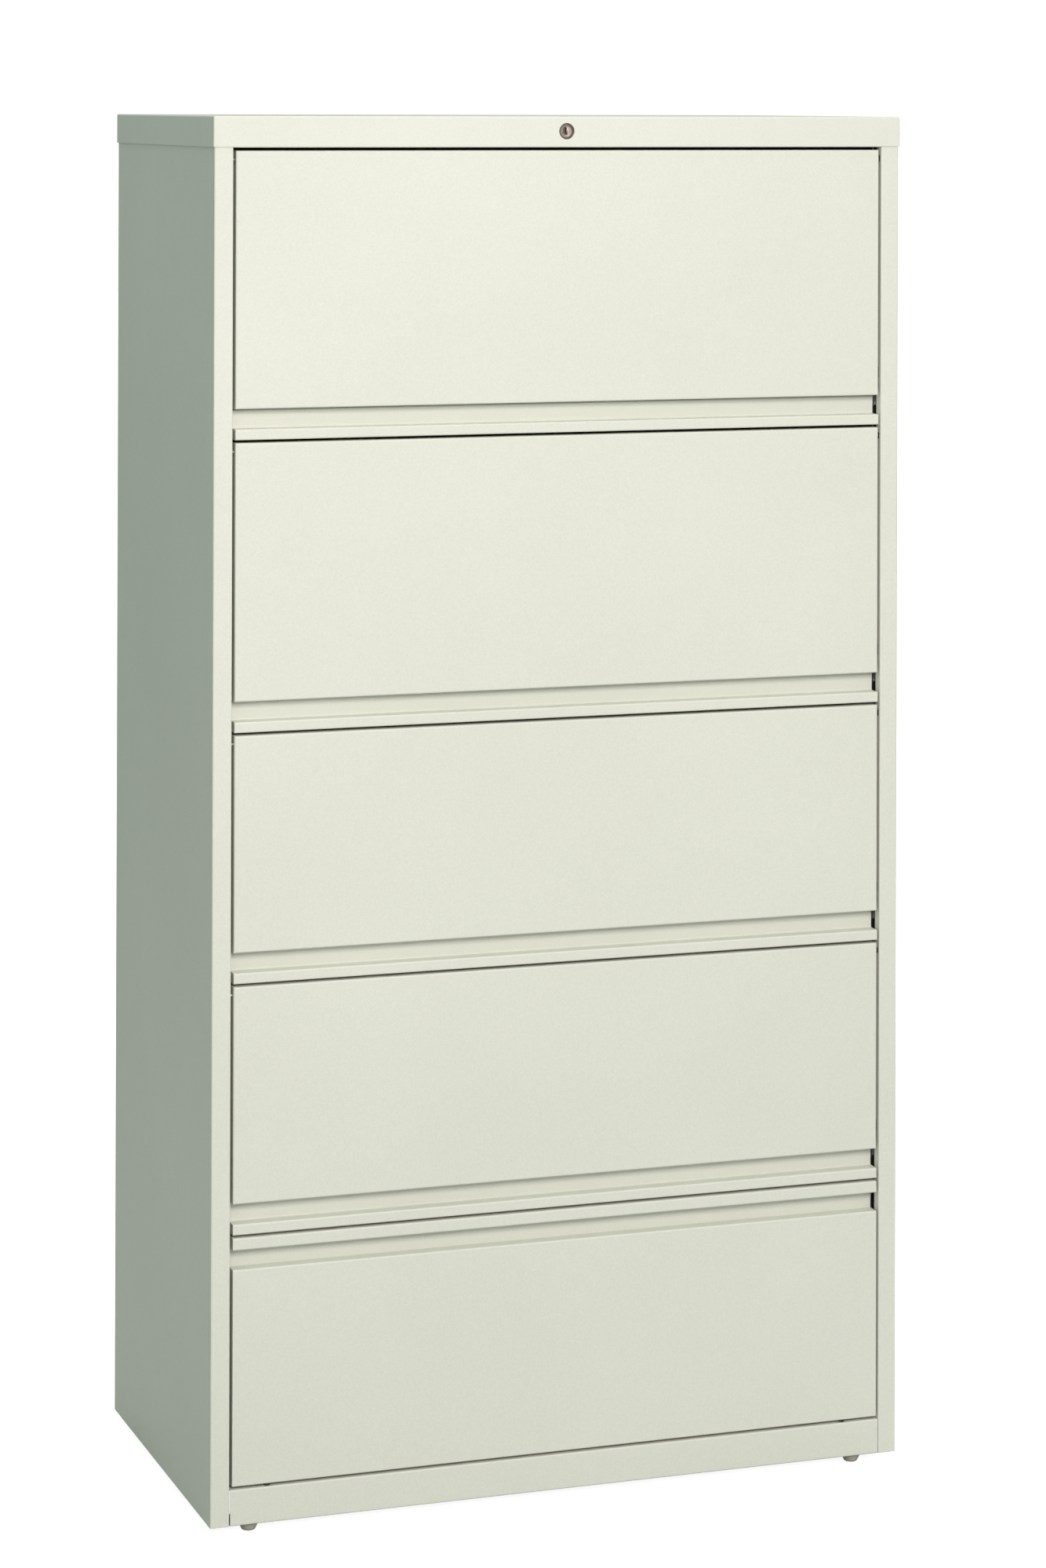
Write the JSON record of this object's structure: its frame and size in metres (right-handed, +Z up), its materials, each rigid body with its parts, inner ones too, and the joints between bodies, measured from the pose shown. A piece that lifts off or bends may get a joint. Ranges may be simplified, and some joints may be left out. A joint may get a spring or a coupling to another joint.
{
  "type": "lateral filing cabinet",
  "caption": "Free-standing sheet-steel lateral filing cabinet with receding flip-up doors over roll-out shelves and a full-width drawer at the base.",
  "frame": {"origin": "on the floor, under the middle of the top cap's footprint", "axes": "+Z up, +X along the width to the viewer's right when facing the fronts, the fronts face -Y"},
  "size_m": [0.9144, 0.4732, 1.7237],
  "materials": {
    "case_paint": "light putty powder coat with a fine orange-peel texture",
    "front_paint": "light putty powder coat with a fine orange-peel texture",
    "zinc_steel": "bright zinc-plated sheet and wire",
    "nylon": "natural nylon",
    "lock_nickel": "satin nickel plate",
    "glide_plastic": "moulded plastic foot on a plated stem",
    "cast_ballast": "rough black ballast bar"
  },
  "bodies": {
    "case": {"left_side_panel": "case_paint", "right_side_panel": "case_paint", "back_panel": "case_paint", "case_screws": "zinc_steel", "top_cap": "case_paint", "top_front_rail": "case_paint", "base_front_rail": "case_paint", "base_rear_rail": "case_paint", "glide_nuts": "zinc_steel", "bottom_pan": "case_paint", "counterweight": "cast_ballast", "uprights": "zinc_steel", "lock_housing": "zinc_steel", "drawer_slide_outer": "zinc_steel", "shelf_1_slide_outer": "zinc_steel", "door_1_tracks": "zinc_steel", "shelf_2_slide_outer": "zinc_steel", "door_2_tracks": "zinc_steel", "shelf_3_slide_outer": "zinc_steel", "door_3_tracks": "zinc_steel", "shelf_4_slide_outer": "zinc_steel", "door_4_tracks": "zinc_steel"},
    "door_1_carriage": {"door_1_pivot_rod": "zinc_steel"},
    "door_1": {"door_1": "front_paint"},
    "door_1_rollers": {"door_1_rollers": "nylon"},
    "shelf_1": {"shelf_1_tray": "front_paint", "shelf_1_slide_inner": "zinc_steel"},
    "shelf_1_middle_slides": {"shelf_1_slide_middle": "zinc_steel"},
    "door_2_carriage": {"door_2_pivot_rod": "zinc_steel"},
    "door_2": {"door_2": "front_paint"},
    "door_2_rollers": {"door_2_rollers": "nylon"},
    "shelf_2": {"shelf_2_tray": "front_paint", "shelf_2_slide_inner": "zinc_steel"},
    "shelf_2_middle_slides": {"shelf_2_slide_middle": "zinc_steel"},
    "door_3_carriage": {"door_3_pivot_rod": "zinc_steel"},
    "door_3": {"door_3": "front_paint"},
    "door_3_rollers": {"door_3_rollers": "nylon"},
    "shelf_3": {"shelf_3_tray": "front_paint", "shelf_3_slide_inner": "zinc_steel"},
    "shelf_3_middle_slides": {"shelf_3_slide_middle": "zinc_steel"},
    "door_4_carriage": {"door_4_pivot_rod": "zinc_steel"},
    "door_4": {"door_4": "front_paint"},
    "door_4_rollers": {"door_4_rollers": "nylon"},
    "shelf_4": {"shelf_4_tray": "front_paint", "shelf_4_slide_inner": "zinc_steel"},
    "shelf_4_middle_slides": {"shelf_4_slide_middle": "zinc_steel"},
    "drawer": {"drawer_front": "front_paint", "drawer_body": "front_paint", "drawer_fittings": "zinc_steel", "drawer_slide_inner": "zinc_steel"},
    "drawer_middle_slides": {"drawer_slide_middle": "zinc_steel"},
    "lock_plug": {"lock_plug": "lock_nickel", "lock_cam": "zinc_steel"},
    "lock_link": {"lock_link": "zinc_steel"},
    "lock_bar": {"lock_bar": "zinc_steel", "lock_bar_arms": "zinc_steel"},
    "glide_front_left": {"glide_front_left": "glide_plastic"},
    "glide_front_right": {"glide_front_right": "glide_plastic"},
    "glide_rear_left": {"glide_rear_left": "glide_plastic"},
    "glide_rear_right": {"glide_rear_right": "glide_plastic"}
  },
  "joints": [
    {"name": "door_1_recede", "type": "slide", "parent": "case", "child": "door_1_carriage", "axis": [0, 1, 0], "range_m": [0, 0.2813]},
    {"name": "door_1_flip", "type": "hinge", "parent": "door_1_carriage", "child": "door_1", "pos_m": [0, -0.22605, 1.6704], "axis": [-1, 0, 0], "range_deg": [0, 90]},
    {"name": "door_1_roller_spin", "type": "hinge", "parent": "door_1_carriage", "child": "door_1_rollers", "pos_m": [0, -0.22605, 1.6704], "axis": [-1, 0, 0], "continuous": true},
    {"name": "shelf_1_slide", "type": "slide", "parent": "case", "child": "shelf_1", "axis": [0, -1, 0], "range_m": [0, 0.36]},
    {"name": "shelf_1_middle_slide", "type": "slide", "parent": "case", "child": "shelf_1_middle_slides", "axis": [0, -1, 0], "range_m": [0, 0.18]},
    {"name": "door_2_recede", "type": "slide", "parent": "case", "child": "door_2_carriage", "axis": [0, 1, 0], "range_m": [0, 0.2813]},
    {"name": "door_2_flip", "type": "hinge", "parent": "door_2_carriage", "child": "door_2", "pos_m": [0, -0.22605, 1.3148], "axis": [-1, 0, 0], "range_deg": [0, 90]},
    {"name": "door_2_roller_spin", "type": "hinge", "parent": "door_2_carriage", "child": "door_2_rollers", "pos_m": [0, -0.22605, 1.3148], "axis": [-1, 0, 0], "continuous": true},
    {"name": "shelf_2_slide", "type": "slide", "parent": "case", "child": "shelf_2", "axis": [0, -1, 0], "range_m": [0, 0.36]},
    {"name": "shelf_2_middle_slide", "type": "slide", "parent": "case", "child": "shelf_2_middle_slides", "axis": [0, -1, 0], "range_m": [0, 0.18]},
    {"name": "door_3_recede", "type": "slide", "parent": "case", "child": "door_3_carriage", "axis": [0, 1, 0], "range_m": [0, 0.2305]},
    {"name": "door_3_flip", "type": "hinge", "parent": "door_3_carriage", "child": "door_3", "pos_m": [0, -0.22605, 0.9592], "axis": [-1, 0, 0], "range_deg": [0, 90]},
    {"name": "door_3_roller_spin", "type": "hinge", "parent": "door_3_carriage", "child": "door_3_rollers", "pos_m": [0, -0.22605, 0.9592], "axis": [-1, 0, 0], "continuous": true},
    {"name": "shelf_3_slide", "type": "slide", "parent": "case", "child": "shelf_3", "axis": [0, -1, 0], "range_m": [0, 0.36]},
    {"name": "shelf_3_middle_slide", "type": "slide", "parent": "case", "child": "shelf_3_middle_slides", "axis": [0, -1, 0], "range_m": [0, 0.18]},
    {"name": "door_4_recede", "type": "slide", "parent": "case", "child": "door_4_carriage", "axis": [0, 1, 0], "range_m": [0, 0.2305]},
    {"name": "door_4_flip", "type": "hinge", "parent": "door_4_carriage", "child": "door_4", "pos_m": [0, -0.22605, 0.6544], "axis": [-1, 0, 0], "range_deg": [0, 90]},
    {"name": "door_4_roller_spin", "type": "hinge", "parent": "door_4_carriage", "child": "door_4_rollers", "pos_m": [0, -0.22605, 0.6544], "axis": [-1, 0, 0], "continuous": true},
    {"name": "shelf_4_slide", "type": "slide", "parent": "case", "child": "shelf_4", "axis": [0, -1, 0], "range_m": [0, 0.36]},
    {"name": "shelf_4_middle_slide", "type": "slide", "parent": "case", "child": "shelf_4_middle_slides", "axis": [0, -1, 0], "range_m": [0, 0.18]},
    {"name": "drawer_slide", "type": "slide", "parent": "case", "child": "drawer", "axis": [0, -1, 0], "range_m": [0, 0.36]},
    {"name": "drawer_middle_slide", "type": "slide", "parent": "case", "child": "drawer_middle_slides", "axis": [0, -1, 0], "range_m": [0, 0.18]},
    {"name": "lock_turn", "type": "hinge", "parent": "case", "child": "lock_plug", "pos_m": [0, -0.23505, 1.7052], "axis": [0, -1, 0], "range_deg": [0, 90]},
    {"name": "lock_link_slide", "type": "slide", "parent": "case", "child": "lock_link", "axis": [1, 0, 0], "range_m": [0, 0.012]},
    {"name": "lock_bar_lift", "type": "slide", "parent": "case", "child": "lock_bar", "axis": [0, 0, 1], "range_m": [0, 0.012]},
    {"name": "glide_front_left_screw", "type": "hinge", "parent": "case", "child": "glide_front_left", "pos_m": [-0.402, -0.21505, 0], "axis": [0, 0, 1], "continuous": true},
    {"name": "glide_front_right_screw", "type": "hinge", "parent": "case", "child": "glide_front_right", "pos_m": [0.402, -0.21505, 0], "axis": [0, 0, 1], "continuous": true},
    {"name": "glide_rear_left_screw", "type": "hinge", "parent": "case", "child": "glide_rear_left", "pos_m": [-0.402, 0.21095, 0], "axis": [0, 0, 1], "continuous": true},
    {"name": "glide_rear_right_screw", "type": "hinge", "parent": "case", "child": "glide_rear_right", "pos_m": [0.402, 0.21095, 0], "axis": [0, 0, 1], "continuous": true}
  ],
  "couplings": [
    {"joint": "door_1_recede", "follows": "door_1_flip", "m_per_rad": 0.17908},
    {"joint": "door_1_roller_spin", "follows": "door_1_flip", "ratio": 29.847},
    {"joint": "shelf_1_middle_slide", "follows": "shelf_1_slide", "ratio": 0.5},
    {"joint": "door_2_recede", "follows": "door_2_flip", "m_per_rad": 0.17908},
    {"joint": "door_2_roller_spin", "follows": "door_2_flip", "ratio": 29.847},
    {"joint": "shelf_2_middle_slide", "follows": "shelf_2_slide", "ratio": 0.5},
    {"joint": "door_3_recede", "follows": "door_3_flip", "m_per_rad": 0.14674},
    {"joint": "door_3_roller_spin", "follows": "door_3_flip", "ratio": 24.457},
    {"joint": "shelf_3_middle_slide", "follows": "shelf_3_slide", "ratio": 0.5},
    {"joint": "door_4_recede", "follows": "door_4_flip", "m_per_rad": 0.14674},
    {"joint": "door_4_roller_spin", "follows": "door_4_flip", "ratio": 24.457},
    {"joint": "shelf_4_middle_slide", "follows": "shelf_4_slide", "ratio": 0.5},
    {"joint": "drawer_middle_slide", "follows": "drawer_slide", "ratio": 0.5},
    {"joint": "lock_link_slide", "follows": "lock_bar_lift", "ratio": 1},
    {"joint": "lock_turn", "follows": "lock_bar_lift", "rad_per_m": 130.9}
  ]
}
